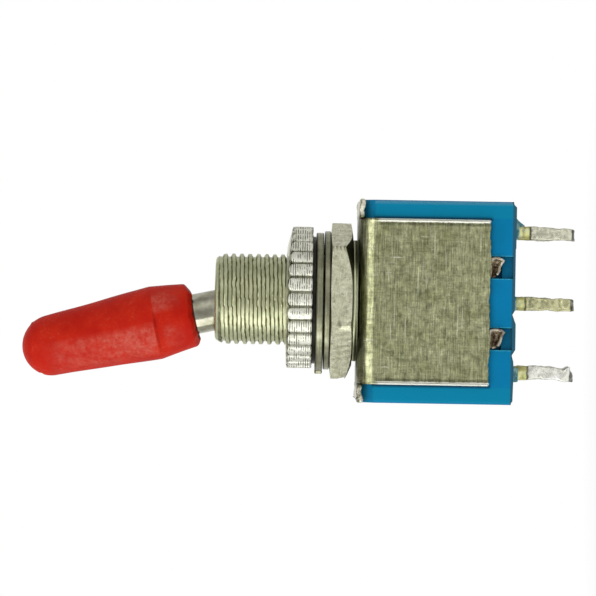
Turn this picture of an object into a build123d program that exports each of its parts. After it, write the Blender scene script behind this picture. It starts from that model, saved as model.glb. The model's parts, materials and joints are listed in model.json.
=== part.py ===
# Miniature toggle switch, two positions, three solder lugs.
#
# +Z runs up the bushing towards the lever and +X along the row of lugs. The origin
# is on the bushing's axis, in the plane where a panel is clamped. The lever lies on
# its stop with its top towards -X. Sizes are in millimetres, angles in degrees.

from build123d import *
import os
from math import cos, radians, sin, sqrt, tan

# Fits
running_gap = 0.05  # radial, where something turns or slides
face_gap = 0.02  # beside the flat faces of a nut
seat_gap = 0.01  # radial, where something is pressed in

# Stack along the bushing, from the panel plane at z = 0
bushing_reach = 6.6
knurled_nut_height = 1.92
panel_washer_thickness = 0.5
washer_gap = 0.05
tooth_washer_thickness = 0.4
hex_nut_height = 1.45
flange_thickness = 0.3
plate_thickness = 0.35
case_height = 9.84

# Bushing
thread_r = 3.0
mouth_chamfer_reach = 0.6
mouth_chamfer_depth = 0.45
flange_r = 4.0
spigot_r = 2.85
swage_r = 3.2
swage_depth = 0.35
thread_rings = 5  # plain grooves that stand for the thread above the nuts
thread_spacing = 0.8
thread_depth = 0.25
thread_groove = 0.36  # width of a groove

# Nuts and washers
knurled_nut_r = 4.7
knurl_count = 30
knurl_depth = 0.3
knurled_cone_rise = 0.5
hex_across_flats = 9.1
hex_turn = 11.6
hex_chamfer_rise = 0.6
hex_end_r = 4.0
panel_washer_r = 4.6
panel_washer_bore_r = 3.2
panel_washer_drop = 0.13  # the loose washer has sunk this far towards -X
locating_tab_width = 1.2
locating_tab_reach = 0.14
tooth_washer_r = 4.58
tooth_ring_r = 3.75
tooth_tip_r = 3.12
tooth_count = 12
tooth_width = 0.9

# Lever and its soft sleeve, along the lever from the ball's centre
pivot_depth = 3.66  # below the bushing's mouth
lever_throw = 12.0  # each way from upright
ball_r = 1.95
shaft_r = 1.33
lever_reach = 15.9
tail_r = 1.05
pin_r = 0.45
pin_reach = 2.4
spring_bore_r = 0.72
spring_bore_end = 3.4
stop_gap = 0.1  # between lever and bushing at the end of the throw
sleeve_start = 5.12
sleeve_lip_r = 1.58
sleeve_mouth_r = 2.1
sleeve_mouth_rise = 0.4
ridge_reach = 7.8
ridge_r = 2.43
sleeve_tip_reach = 16.9
sleeve_dome_r = 2.0

# Plunger and its spring, inside the lever's tail
plunger_head_r = 0.9
plunger_head_length = 2.4
plunger_travel = 0.8
plunger_stem_length = 2.7
spring_wire = 0.2  # square
spring_turns = 3

# Rocker on the common terminal
rocker_tilt = 5.5  # each way from level
rocker_width = 2.9
strip_thickness = 0.6
seat_rise = 0.09  # from the fulcrum's centre to the strip's underside
trough_margin = 0.25
contact_inset = 1.3  # from an outer lug to its contact
wing_overhang = 0.65  # past the contact
fulcrum_rise = 1.83  # above the case's floor
contact_gap = 0.03
contact_dome_r = 1.5
button_r = 0.58
button_height = 0.32
fixed_contact_r = 0.65
fixed_contact_height = 0.3

# Case, open towards the bracket
case_length = 13.2
case_depth = 7.16
case_edge_fillet = 0.25
end_wall = 1.0
side_wall = 0.9
floor_thickness = 1.9
cavity_corner_r = 0.5
high_corner_chamfer = 0.33
low_corner_length = 1.2
low_corner_rise = 0.22
lug_land_length = 2.7
lug_land_height = 0.1
pad_length = 1.75
pad_height = 0.07
groove_half_width = 0.36
groove_depth = 0.22

# Bracket
leg_inset = 1.2  # from the end of the case
leg_length = 8.54
leg_gap = 0.02
bend_r = 0.93  # of the sheet's middle line
stake_spacing = 4.64
stake_width = 1.2
stake_drop = 0.25
stake_bend_r = 0.35
stake_bend = 80.0
stake_end = 0.22
pocket_width = 1.55
pocket_height = 0.95
pocket_depth = 0.7

# Terminals
lug_inset = 1.95  # from the end of the case to the middle of an outer lug
lug_thickness = 0.86
lug_tip_thickness = 0.7
lug_width = 2.0
lug_length = 4.1
lug_tip_fillet = 0.5
lug_bow = 0.09  # how far the last lug bulges beside the case
solder_hole_r = 0.5
solder_hole_from_tip = 1.3
shoulder_width = 2.8
elbow_r = 0.5
pad_overhang = 0.75
ear_rise = 1.1
ear_thickness = 0.5
ear_gap = 0.1

# Heights that follow
knurled_nut_top = face_gap + knurled_nut_height
tooth_washer_top = -panel_washer_thickness - washer_gap
hex_nut_top = tooth_washer_top - tooth_washer_thickness - face_gap
hex_nut_bottom = hex_nut_top - hex_nut_height
flange_top = hex_nut_bottom - face_gap
plate_top = flange_top - flange_thickness
case_top = plate_top - plate_thickness
case_bottom = case_top - case_height
floor_top = case_bottom + floor_thickness
leg_end = plate_top - leg_length
case_top_chamfer = bend_r - plate_thickness / 2  # clears the bracket's bends
swage_bottom = case_top - swage_depth
pivot_z = bushing_reach - pivot_depth
fulcrum_z = floor_top + fulcrum_rise

# Places along the row of lugs
lug_pitch = case_length / 2 - lug_inset
contact_reach = lug_pitch - contact_inset  # along the rocker from its fulcrum
rocker_half_length = contact_reach + wing_overhang

# The lever, its sleeve and the plunger turn about one tilted axis through the ball
throw = radians(lever_throw)
lever_axis = Axis((0, 0, pivot_z), (-sin(throw), 0, cos(throw)))
lever_side = Plane(origin=(0, 0, pivot_z), x_dir=(cos(throw), 0, sin(throw)), z_dir=(0, -1, 0))


def flank(radius, height):
    """Reach of a shaft's flank at the end of the throw, at a height from the ball's centre."""
    return radius / cos(throw) + height * tan(throw)


# The plunger's tip runs along the rocker's trough. Seen from the rocker, the tip's
# centre moves on an arc, found from its places at mid-throw and at the stop.
trough_height = strip_thickness + seat_rise
plunger_reach = pivot_z - fulcrum_z - trough_height - running_gap
tip_centre_reach = plunger_reach - plunger_head_r
tail_reach = plunger_reach - plunger_head_length
tilt = radians(rocker_tilt)
tip_out = tip_centre_reach * sin(throw)
tip_up = pivot_z - tip_centre_reach * cos(throw) - fulcrum_z
stop_x = tip_out * cos(tilt) - tip_up * sin(tilt)
stop_rise = tip_out * sin(tilt) + tip_up * cos(tilt) - (pivot_z - tip_centre_reach - fulcrum_z)
tip_path_r = (stop_x**2 + stop_rise**2) / (2 * stop_rise)
trough_r = tip_path_r + plunger_head_r + running_gap
trough_centre = trough_height + trough_r
trough_half = stop_x * trough_r / tip_path_r + trough_margin
wing_top = trough_centre - sqrt(trough_r**2 - trough_half**2)
wing_under = wing_top - strip_thickness
rocker_side = Plane(origin=(0, 0, fulcrum_z), x_dir=(cos(tilt), 0, -sin(tilt)), z_dir=(0, -1, 0))

# Where the closed contacts meet, which sets the height of the fixed ones
dome_centre = wing_under - button_height + contact_dome_r
fixed_contact_x = contact_reach * cos(tilt) + dome_centre * sin(tilt)
closed_dome_z = fulcrum_z - contact_reach * sin(tilt) + dome_centre * cos(tilt)
fixed_contact_top = closed_dome_z - contact_dome_r - contact_gap
pad_top = fixed_contact_top - fixed_contact_height


# Bushing: flange, barrel with its thread as plain rings, spherical seat under the mouth,
# swaged spigot below, and two keyways, open below, for the ends of the lever's pin
ball_bore_r = ball_r + running_gap
neck_start = shaft_r / cos(throw) + stop_gap
neck_a = 1 + tan(throw) ** 2
neck_b = 2 * neck_start * tan(throw)
neck_c = neck_start**2 - ball_bore_r**2
neck_rise = (sqrt(neck_b**2 - 4 * neck_a * neck_c) - neck_b) / (2 * neck_a)
neck_r = neck_start + neck_rise * tan(throw)
mouth_r = flank(shaft_r, pivot_depth) + stop_gap
straight_depth = (ball_bore_r - flank(tail_r, 0) - stop_gap) / tan(throw)
foot_bore_r = flank(tail_r, pivot_z - swage_bottom) + stop_gap
thread_middle = bushing_reach - mouth_chamfer_reach - thread_rings * thread_spacing / 2

with BuildPart() as bushing:
    with BuildSketch(Plane.XZ):
        with BuildLine():
            Polyline(
                (0, bushing_reach),
                (thread_r - mouth_chamfer_depth, bushing_reach),
                (thread_r, bushing_reach - mouth_chamfer_reach),
                (thread_r, flange_top),
                (flange_r, flange_top),
                (flange_r, plate_top),
                (spigot_r, plate_top),
                (spigot_r, case_top),
                (swage_r, case_top),
                (spigot_r, swage_bottom),
                (0, swage_bottom),
                (0, bushing_reach),
            )
        make_face()
    revolve(axis=Axis.Z)
    with BuildSketch(Plane.XZ):
        with Locations((thread_r, thread_middle)):
            with GridLocations(0, thread_spacing, 1, thread_rings):
                Rectangle(2 * thread_depth, thread_groove)
    revolve(axis=Axis.Z, mode=Mode.SUBTRACT)
    with BuildSketch(Plane.XZ):
        with BuildLine():
            Polyline(
                (ball_bore_r, pivot_z),
                (ball_bore_r, pivot_z - straight_depth),
                (foot_bore_r, pivot_z - straight_depth),
                (foot_bore_r, swage_bottom),
                (0, swage_bottom),
                (0, bushing_reach),
                (mouth_r, bushing_reach),
                (neck_r, pivot_z + neck_rise),
            )
            RadiusArc((neck_r, pivot_z + neck_rise), (ball_bore_r, pivot_z), ball_bore_r)
        make_face()
    revolve(axis=Axis.Z, mode=Mode.SUBTRACT)
    with BuildSketch(Plane.XZ):
        with Locations((0, pivot_z)):
            Circle(pin_r + running_gap)
            Rectangle(2 * (pin_r + running_gap), pivot_z - swage_bottom, align=(Align.CENTER, Align.MAX))
    extrude(amount=pin_reach + running_gap, both=True, mode=Mode.SUBTRACT)

# Knurled nut: straight serrations, a cone above
with BuildPart() as knurled_nut:
    with BuildSketch(Plane.XZ):
        with BuildLine():
            Polyline(
                (thread_r + running_gap, face_gap),
                (knurled_nut_r, face_gap),
                (knurled_nut_r, knurled_nut_top - knurled_cone_rise),
                (thread_r + running_gap, knurled_nut_top),
                close=True,
            )
        make_face()
    revolve(axis=Axis.Z)
    with BuildSketch(Plane.XY.offset(face_gap)):
        with PolarLocations(knurled_nut_r, knurl_count, start_angle=-90):
            Rectangle(knurl_depth * sqrt(2), knurl_depth * sqrt(2), rotation=45)
    extrude(amount=knurled_nut_height, mode=Mode.SUBTRACT)

# Panel washer, loose on the thread, with the stub of its locating tab
with BuildPart() as panel_washer:
    with BuildSketch(Plane.XY.offset(-panel_washer_thickness)):
        with Locations((-panel_washer_drop, 0)):
            Circle(panel_washer_r)
            with Locations((-panel_washer_r, 0)):
                Rectangle(2 * locating_tab_reach, locating_tab_width)
            Circle(panel_washer_bore_r, mode=Mode.SUBTRACT)
    extrude(amount=panel_washer_thickness)
    tab_edges = panel_washer.faces().sort_by(Axis.Z)[0].edges().filter_by(GeomType.LINE)
    chamfer(tab_edges, locating_tab_reach / 2)

# Lock washer with inner teeth
with BuildPart() as tooth_washer:
    with BuildSketch(Plane.XY.offset(tooth_washer_top)):
        Circle(tooth_washer_r)
        Circle(tooth_ring_r, mode=Mode.SUBTRACT)
        with PolarLocations((tooth_ring_r + tooth_tip_r) / 2, tooth_count):
            Rectangle(tooth_ring_r - tooth_tip_r + 2 * seat_gap, tooth_width)
        Circle(tooth_tip_r, mode=Mode.SUBTRACT)
    extrude(amount=-tooth_washer_thickness)

# Hexagon nut, chamfered on its lower face
hex_corner_r = hex_across_flats / sqrt(3)
with BuildPart() as hex_nut:
    with BuildSketch(Plane.XY.offset(hex_nut_bottom)):
        RegularPolygon(hex_across_flats / 2, 6, major_radius=False, rotation=hex_turn)
        Circle(thread_r + running_gap, mode=Mode.SUBTRACT)
    extrude(amount=hex_nut_height)
    with BuildSketch(Plane.XZ):
        with BuildLine():
            Polyline(
                (0, hex_nut_bottom),
                (hex_end_r, hex_nut_bottom),
                (hex_corner_r, hex_nut_bottom + hex_chamfer_rise),
                (hex_corner_r, hex_nut_top),
                (0, hex_nut_top),
                close=True,
            )
        make_face()
    revolve(axis=Axis.Z, mode=Mode.INTERSECT)

# Lever: one turned piece, shaft, ball and hollow tail, cross-drilled for its pin
with BuildPart() as lever:
    with BuildSketch(lever_side):
        with BuildLine():
            shaft_foot = (shaft_r, sqrt(ball_r**2 - shaft_r**2))
            tail_head = (tail_r, -sqrt(ball_r**2 - tail_r**2))
            Polyline((0, lever_reach), (shaft_r, lever_reach), shaft_foot)
            ThreePointArc(shaft_foot, (ball_r, 0), tail_head)
            Polyline(
                tail_head,
                (tail_r, -tail_reach),
                (spring_bore_r, -tail_reach),
                (spring_bore_r, -spring_bore_end),
                (0, -spring_bore_end),
                (0, lever_reach),
            )
        make_face()
    revolve(axis=lever_axis)
    with BuildSketch(lever_side):
        Circle(pin_r + seat_gap)
    extrude(amount=ball_r, both=True, mode=Mode.SUBTRACT)

# Cross pin, pressed through the ball, that keeps the lever in one plane
with BuildPart() as lever_pin:
    with BuildSketch(lever_side.offset(-pin_reach)):
        Circle(pin_r)
    extrude(amount=2 * pin_reach)

# Soft sleeve pulled over the lever: eased lip, low ridge, long taper, round end
with BuildPart() as lever_cap:
    with BuildSketch(lever_side):
        with BuildLine():
            sleeve_dome_start = (sleeve_dome_r, sleeve_tip_reach - sleeve_dome_r)
            Polyline(
                (0, sleeve_start),
                (sleeve_lip_r, sleeve_start),
                (sleeve_mouth_r, sleeve_start + sleeve_mouth_rise),
                (ridge_r, ridge_reach),
                sleeve_dome_start,
            )
            RadiusArc((0, sleeve_tip_reach), sleeve_dome_start, sleeve_dome_r)
            Line((0, sleeve_tip_reach), (0, sleeve_start))
        make_face()
    revolve(axis=lever_axis)
    with BuildSketch(lever_side):
        with BuildLine():
            grip_r = shaft_r + face_gap
            grip_end = lever_reach + face_gap
            Polyline(
                (0, sleeve_start),
                (grip_r, sleeve_start),
                (grip_r, grip_end),
                (0, grip_end),
                close=True,
            )
        make_face()
    revolve(axis=lever_axis, mode=Mode.SUBTRACT)

# Plunger: a bullet that slides in the lever's tail and runs on the rocker
plunger_shoulder = tail_reach + plunger_travel + stop_gap
stem_r = spring_bore_r - running_gap
stem_end = plunger_shoulder - plunger_stem_length
with BuildPart() as plunger:
    with BuildSketch(lever_side):
        with BuildLine():
            Polyline(
                (0, -plunger_reach),
                (0, -stem_end),
                (stem_r, -stem_end),
                (stem_r, -plunger_shoulder),
                (plunger_head_r, -plunger_shoulder),
                (plunger_head_r, -tip_centre_reach),
            )
            RadiusArc((plunger_head_r, -tip_centre_reach), (0, -plunger_reach), plunger_head_r)
        make_face()
    revolve(axis=lever_axis)

# Spring behind the plunger
spring_rest = spring_wire / 2 + seat_gap
spring_length = stem_end - spring_bore_end - 2 * spring_rest
spring_foot = lever_side.from_local_coords(Vector(0, spring_rest - stem_end, 0))
with BuildPart() as plunger_spring:
    with BuildLine() as coil:
        Helix(
            spring_length / spring_turns,
            spring_length,
            spring_bore_r - running_gap - spring_wire / 2,
            center=spring_foot,
            direction=lever_axis.direction,
        )
    with BuildSketch(Plane(origin=coil.line @ 0, x_dir=lever_side.z_dir, z_dir=coil.line % 0)):
        Rectangle(spring_wire, spring_wire)
    sweep(is_frenet=True)

# Rocker: a strip with a trough for the plunger and a groove for its fulcrum
with BuildPart() as rocker:
    with BuildSketch(rocker_side):
        with BuildLine():
            under_r = trough_r + strip_thickness
            under_half = sqrt(under_r**2 - (trough_centre - wing_under) ** 2)
            ThreePointArc((-trough_half, wing_top), (0, trough_height), (trough_half, wing_top))
            Polyline(
                (trough_half, wing_top),
                (rocker_half_length, wing_top),
                (rocker_half_length, wing_under),
                (under_half, wing_under),
            )
            ThreePointArc((under_half, wing_under), (0, seat_rise), (-under_half, wing_under))
            Polyline(
                (-under_half, wing_under),
                (-rocker_half_length, wing_under),
                (-rocker_half_length, wing_top),
                (-trough_half, wing_top),
            )
        make_face()
        Circle(lug_thickness / 2 + running_gap, mode=Mode.SUBTRACT)
    extrude(amount=rocker_width / 2, both=True)


def moving_contact(side):
    """Domed contact welded under one wing of the rocker, clear of the trough."""
    weld = rocker_side.from_local_coords(Vector(side * contact_reach, wing_under, 0))
    dome_height = contact_dome_r - sqrt(contact_dome_r**2 - button_r**2)
    with BuildPart() as contact:
        with BuildSketch(Plane(origin=weld, x_dir=rocker_side.x_dir, z_dir=rocker_side.z_dir)):
            with BuildLine():
                RadiusArc((0, -button_height), (button_r, dome_height - button_height), -contact_dome_r)
                Polyline(
                    (button_r, dome_height - button_height),
                    (button_r, 0),
                    (0, 0),
                    (0, -button_height),
                )
            make_face()
        revolve(axis=Axis(weld, rocker_side.y_dir))
        with BuildSketch(rocker_side):
            with Locations((0, trough_centre)):
                Circle(under_r)
        extrude(amount=button_r, both=True, mode=Mode.SUBTRACT)
    return contact


rocker_contact_left = moving_contact(-1)
rocker_contact_right = moving_contact(1)

# Case: one moulding, open above, with a thick floor that holds the terminals
with BuildPart() as case:
    with BuildSketch(Plane.XZ) as case_front:
        with Locations((0, case_top)):
            Rectangle(case_length, case_height, align=(Align.CENTER, Align.MAX))
        with Locations((case_length / 2 - high_corner_chamfer - lug_land_length / 2, case_bottom)):
            Rectangle(lug_land_length, 2 * lug_land_height)
        with Locations((-lug_pitch / 2, case_bottom)):
            Trapezoid(pad_length + 2 * pad_height, 2 * pad_height, 45)
        with Locations(
            (-lug_pitch / 2 + pad_length / 2 + groove_half_width, case_bottom),
            (-lug_pitch / 2 - pad_length / 2 - groove_half_width, case_bottom),
        ):
            Rectangle(groove_depth * sqrt(2), groove_depth * sqrt(2), rotation=45, mode=Mode.SUBTRACT)
        high_corner = case_front.vertices().group_by(Axis.X)[-1].sort_by(Axis.Y)[0]
        chamfer(high_corner, high_corner_chamfer)
        low_corner = (-case_length / 2, case_bottom)
        with BuildLine():
            Polyline(
                low_corner,
                (low_corner[0] + low_corner_length, case_bottom),
                (low_corner[0], case_bottom + low_corner_rise),
                close=True,
            )
        make_face(mode=Mode.SUBTRACT)
    extrude(amount=case_depth / 2, both=True)
    corners = case.edges().filter_by(Axis.Z)
    fillet(corners.group_by(Axis.X)[0] + corners.group_by(Axis.X)[-1], case_edge_fillet)
    with BuildSketch(Plane.YZ):
        with Locations((0, case_top)):
            with GridLocations(case_depth, 0, 2, 1):
                Rectangle(case_top_chamfer * sqrt(2), case_top_chamfer * sqrt(2), rotation=45)
    extrude(amount=case_length / 2, both=True, mode=Mode.SUBTRACT)
    with BuildSketch(Plane.XY.offset(case_top)):
        RectangleRounded(case_length - 2 * end_wall, case_depth - 2 * side_wall, cavity_corner_r)
    extrude(amount=floor_top - case_top, mode=Mode.SUBTRACT)
    with BuildSketch(Plane.XY.offset(case_top)):
        Circle(swage_r + stop_gap)
    extrude(amount=-swage_depth - stop_gap, mode=Mode.SUBTRACT)
    with BuildSketch(Plane.XY.offset(floor_top)):
        with GridLocations(lug_pitch, 0, 3, 1):
            Rectangle(lug_thickness + 2 * seat_gap, lug_width + 2 * seat_gap)
    extrude(amount=case_bottom - floor_top - lug_land_height, mode=Mode.SUBTRACT)
    for side in (-1, 1):
        with BuildSketch(Plane.XZ.offset(side * case_depth / 2)):
            with Locations((0, leg_end - stake_drop + face_gap)):
                with GridLocations(stake_spacing, 0, 2, 1):
                    Rectangle(pocket_width, pocket_height, align=(Align.CENTER, Align.MAX))
        extrude(amount=-side * pocket_depth, mode=Mode.SUBTRACT)

# Bracket: one folded sheet, a plate over the case and two legs staked into its sides
leg_middle_y = case_depth / 2 + leg_gap + plate_thickness / 2
plate_middle_z = plate_top - plate_thickness / 2
with BuildPart() as bracket:
    with BuildSketch(Plane.YZ):
        with BuildLine():
            FilletPolyline(
                (-leg_middle_y, leg_end),
                (-leg_middle_y, plate_middle_z),
                (leg_middle_y, plate_middle_z),
                (leg_middle_y, leg_end),
                radius=bend_r,
            )
        trace(line_width=plate_thickness)
    extrude(amount=case_length / 2 - leg_inset, both=True)
    with BuildSketch(Plane.XY.offset(case_top)):
        Rectangle(case_length, case_depth)
    extrude(amount=plate_thickness)
    for x in (-stake_spacing / 2, stake_spacing / 2):
        for side in (-1, 1):
            with BuildSketch(Plane.YZ.offset(x)):
                with BuildLine():
                    drop = Line((side * leg_middle_y, leg_end), (side * leg_middle_y, leg_end - stake_drop))
                    curl = JernArc(drop @ 1, (0, -1), stake_bend_r, -side * stake_bend)
                    Line(curl @ 1, curl @ 1 + (curl % 1) * stake_end)
                trace(line_width=plate_thickness)
            extrude(amount=stake_width / 2, both=True)
    with BuildSketch(Plane.XY.offset(plate_top)):
        Circle(spigot_r + seat_gap)
    extrude(amount=-plate_thickness, mode=Mode.SUBTRACT)


def lug_blank(x, bow):
    """The part of a terminal below the case, tapered on its +X side and bulging there by bow."""
    inner, outer, tip = x - lug_thickness / 2, x + lug_thickness / 2, case_bottom - lug_length
    with BuildPart() as lug:
        with BuildSketch(Plane.XZ):
            with BuildLine():
                bow_z = case_bottom - lug_length / 5
                tip_inner = inner - bow / 2
                tip_outer = tip_inner + lug_tip_thickness
                Line((inner, case_bottom), (outer, case_bottom))
                Spline((outer, case_bottom), (outer + bow, bow_z), (tip_outer, tip))
                Line((tip_outer, tip), (tip_inner, tip))
                Spline((tip_inner, tip), (inner + bow, bow_z), (inner, case_bottom))
            make_face()
        extrude(amount=lug_width / 2, both=True)
        fillet(lug.edges().filter_by(Axis.X).group_by(Axis.Z)[0], lug_tip_fillet)
        with BuildSketch(Plane.YZ.offset(x - lug_thickness)):
            with Locations((0, tip + solder_hole_from_tip)):
                Circle(solder_hole_r)
        extrude(amount=2 * lug_thickness, mode=Mode.SUBTRACT)
    return lug


def outer_terminal(side, bow):
    """Outer terminal: lug, blade through the floor, shoulder and a pad bent in under the rocker."""
    x = side * lug_pitch
    pad_end = side * (fixed_contact_x - pad_overhang)
    pad_middle = pad_top - lug_thickness / 2
    lug = lug_blank(x, bow)
    with BuildPart() as terminal:
        add(lug.part)
        with BuildSketch(Plane.XY.offset(case_bottom)):
            with Locations((x, 0)):
                Rectangle(lug_thickness, lug_width)
        extrude(amount=floor_thickness)
        with BuildSketch(Plane.XZ):
            with BuildLine():
                FilletPolyline((x, floor_top), (x, pad_middle), (pad_end, pad_middle), radius=elbow_r)
            trace(line_width=lug_thickness)
        extrude(amount=shoulder_width / 2, both=True)
    return terminal


def fixed_contact(side):
    """Flat contact welded on an outer terminal's pad."""
    with BuildPart() as contact:
        with BuildSketch(Plane.XY.offset(pad_top)):
            with Locations((side * fixed_contact_x, 0)):
                Circle(fixed_contact_r)
        extrude(amount=fixed_contact_height)
    return contact


terminal_left = outer_terminal(-1, lug_bow)
terminal_right = outer_terminal(1, 0)
fixed_contact_left = fixed_contact(-1)
fixed_contact_right = fixed_contact(1)

# Common terminal: a blade whose rounded top edge is the rocker's fulcrum, between two ears
fulcrum_r = lug_thickness / 2
ear_inner = rocker_width / 2 + ear_gap
common_lug = lug_blank(0, 0)
with BuildPart() as terminal_common:
    add(common_lug.part)
    with BuildSketch(Plane.XY.offset(case_bottom)):
        Rectangle(lug_thickness, lug_width)
    extrude(amount=floor_thickness)
    with BuildSketch(Plane.XZ):
        with Locations((0, floor_top)):
            Rectangle(lug_thickness, fulcrum_z - floor_top, align=(Align.CENTER, Align.MIN))
        with Locations((0, fulcrum_z)):
            Circle(fulcrum_r)
    extrude(amount=ear_inner + ear_thickness, both=True)
    with BuildSketch(Plane.XY.offset(fulcrum_z)):
        with GridLocations(0, 2 * ear_inner + ear_thickness, 1, 2):
            Rectangle(lug_thickness, ear_thickness)
    extrude(amount=ear_rise)

os.makedirs("parts", exist_ok=True)
lever_cap.part.label = "lever_cap"
export_step(lever_cap.part, "parts/lever_cap.step")
lever.part.label = "lever"
export_step(lever.part, "parts/lever.step")
lever_pin.part.label = "lever_pin"
export_step(lever_pin.part, "parts/lever_pin.step")
bushing.part.label = "bushing"
export_step(bushing.part, "parts/bushing.step")
knurled_nut.part.label = "knurled_nut"
export_step(knurled_nut.part, "parts/knurled_nut.step")
panel_washer.part.label = "panel_washer"
export_step(panel_washer.part, "parts/panel_washer.step")
tooth_washer.part.label = "tooth_washer"
export_step(tooth_washer.part, "parts/tooth_washer.step")
hex_nut.part.label = "hex_nut"
export_step(hex_nut.part, "parts/hex_nut.step")
bracket.part.label = "bracket"
export_step(bracket.part, "parts/bracket.step")
case.part.label = "case"
export_step(case.part, "parts/case.step")
terminal_left.part.label = "terminal_left"
export_step(terminal_left.part, "parts/terminal_left.step")
terminal_common.part.label = "terminal_common"
export_step(terminal_common.part, "parts/terminal_common.step")
terminal_right.part.label = "terminal_right"
export_step(terminal_right.part, "parts/terminal_right.step")
fixed_contact_left.part.label = "fixed_contact_left"
export_step(fixed_contact_left.part, "parts/fixed_contact_left.step")
fixed_contact_right.part.label = "fixed_contact_right"
export_step(fixed_contact_right.part, "parts/fixed_contact_right.step")
rocker.part.label = "rocker"
export_step(rocker.part, "parts/rocker.step")
rocker_contact_left.part.label = "rocker_contact_left"
export_step(rocker_contact_left.part, "parts/rocker_contact_left.step")
rocker_contact_right.part.label = "rocker_contact_right"
export_step(rocker_contact_right.part, "parts/rocker_contact_right.step")
plunger.part.label = "plunger"
export_step(plunger.part, "parts/plunger.step")
plunger_spring.part.label = "plunger_spring"
export_step(plunger_spring.part, "parts/plunger_spring.step")
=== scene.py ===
# Miniature toggle switch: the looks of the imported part.
#
# Lengths are in millimetres in this script and become metres when a mesh is made.
# +Z runs up the bushing towards the lever, +X along the row of lugs, and the side
# that the photo shows looks towards -Y.

import json
from math import cos, pi, radians, sin, sqrt

import bmesh
import bpy
import numpy as np
from mathutils import Matrix, Vector, noise as turbulence

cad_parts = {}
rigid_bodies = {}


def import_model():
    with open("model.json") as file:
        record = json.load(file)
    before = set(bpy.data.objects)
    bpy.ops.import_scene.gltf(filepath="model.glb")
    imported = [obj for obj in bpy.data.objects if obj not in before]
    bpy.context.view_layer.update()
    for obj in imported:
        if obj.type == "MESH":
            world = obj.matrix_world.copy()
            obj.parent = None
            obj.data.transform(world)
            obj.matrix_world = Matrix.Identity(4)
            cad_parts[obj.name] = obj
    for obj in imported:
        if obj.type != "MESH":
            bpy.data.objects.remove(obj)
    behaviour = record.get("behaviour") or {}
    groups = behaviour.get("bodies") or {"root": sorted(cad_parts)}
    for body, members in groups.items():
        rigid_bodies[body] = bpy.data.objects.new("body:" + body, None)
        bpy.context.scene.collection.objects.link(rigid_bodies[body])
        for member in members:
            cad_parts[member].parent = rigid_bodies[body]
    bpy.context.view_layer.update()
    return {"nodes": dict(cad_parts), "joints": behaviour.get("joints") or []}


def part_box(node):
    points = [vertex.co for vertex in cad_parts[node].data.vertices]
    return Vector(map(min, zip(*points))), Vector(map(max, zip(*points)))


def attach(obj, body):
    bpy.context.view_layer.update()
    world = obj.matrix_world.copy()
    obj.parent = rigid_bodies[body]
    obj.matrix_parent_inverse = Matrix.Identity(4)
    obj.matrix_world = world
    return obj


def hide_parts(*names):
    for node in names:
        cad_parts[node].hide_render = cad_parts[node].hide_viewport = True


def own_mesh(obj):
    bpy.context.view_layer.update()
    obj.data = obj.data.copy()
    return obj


MM = 0.001
turbulence.seed_set(2)  # or noise_vector changes from run to run

for old in list(bpy.data.objects):
    bpy.data.objects.remove(old)
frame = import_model()
scene = bpy.context.scene
scene.view_settings.view_transform = "Standard"


def box_mm(name):
    """Lowest and highest corner of a CAD node, in millimetres."""
    low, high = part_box(name)
    return low / MM, high / MM


# ---------------------------------------- sizes that pieces and materials share

joints = {joint["name"]: joint for joint in frame["joints"]}
pivot = Vector(joints["lever_throw"]["pos_m"]) / MM
throw = radians(joints["lever_throw"]["range_deg"][1]) / 2
lever_frame = Matrix.Translation(pivot) @ Matrix.Rotation(-throw, 4, "Y")  # from the lever's own axes
sleeve_start, ridge = 5.12, 7.8  # up the lever from its pivot

thread_r, pitch, thread_depth = 3.0, 0.545, 0.21
nut_bore = thread_r + 0.03
knurl_low, knurl_high = box_mm("knurled_nut")
knurl_r, knurl_shift = -knurl_low.x, 0.16  # the rim is off centre towards +X
rib_foot = knurl_low.z + 0.23

bracket_high = box_mm("bracket")[1]
sheet, bend_r = 0.35, 0.93
leg_half, leg_foot = 5.4, bracket_high.z - 8.54

case_low, case_high = box_mm("case")
half_x, half_y = case_high.x, case_high.y
case_bottom = case_low.z + 0.1  # the height that its uneven lower edge is measured from
stake_x, tab_half = 2.32, 0.6  # a stake on each side of the middle, front and back
pocket_half, pocket_top, pocket_foot = 0.72, -11.36, -12.08
ledge_foot = case_bottom + 0.15  # of the shallow ledge under each pocket

# Each lug: name, middle, bare brass below the case, tin's colour, share of it in dark patches, resin's drop
LUGS = (
    ("left", -4.7, 1.06, (1.0, 1.0, 0.90), 0.86, 0.48),
    ("common", 0.0, 0.86, (0.70, 0.69, 0.40), 0.6, 0.30),
    ("right", 4.7, 1.12, (0.82, 0.81, 0.64), 0.62, 0.42),
)


# ---------------------------------------------------------------- mesh helpers


def make_piece(name, made, body, material, nodes=(), place=None):
    """Points in millimetres and their faces as an object that rides on a body and stands for CAD nodes."""
    points, faces = made
    mesh = bpy.data.meshes.new(name)
    mesh.from_pydata([tuple(p) for p in points], [], faces)
    if place is not None:
        mesh.transform(place)
    mesh.transform(Matrix.Scale(MM, 4))
    work = bmesh.new()
    work.from_mesh(mesh)
    bmesh.ops.remove_doubles(work, verts=work.verts, dist=2e-7)
    bmesh.ops.dissolve_degenerate(work, edges=work.edges, dist=1e-7)
    bmesh.ops.recalc_face_normals(work, faces=work.faces)
    work.to_mesh(mesh)
    work.free()
    mesh.shade_smooth()
    mesh.set_sharp_from_angle(angle=radians(32))
    return ridden(name, mesh, body, material, nodes)


def ridden(name, mesh, body, material, nodes):
    """An object for a mesh, on its body."""
    mesh.materials.clear()
    mesh.materials.append(material)
    piece = bpy.data.objects.new(name, mesh)
    scene.collection.objects.link(piece)
    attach(piece, body)
    if nodes:
        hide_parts(*nodes)
    return piece


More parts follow.
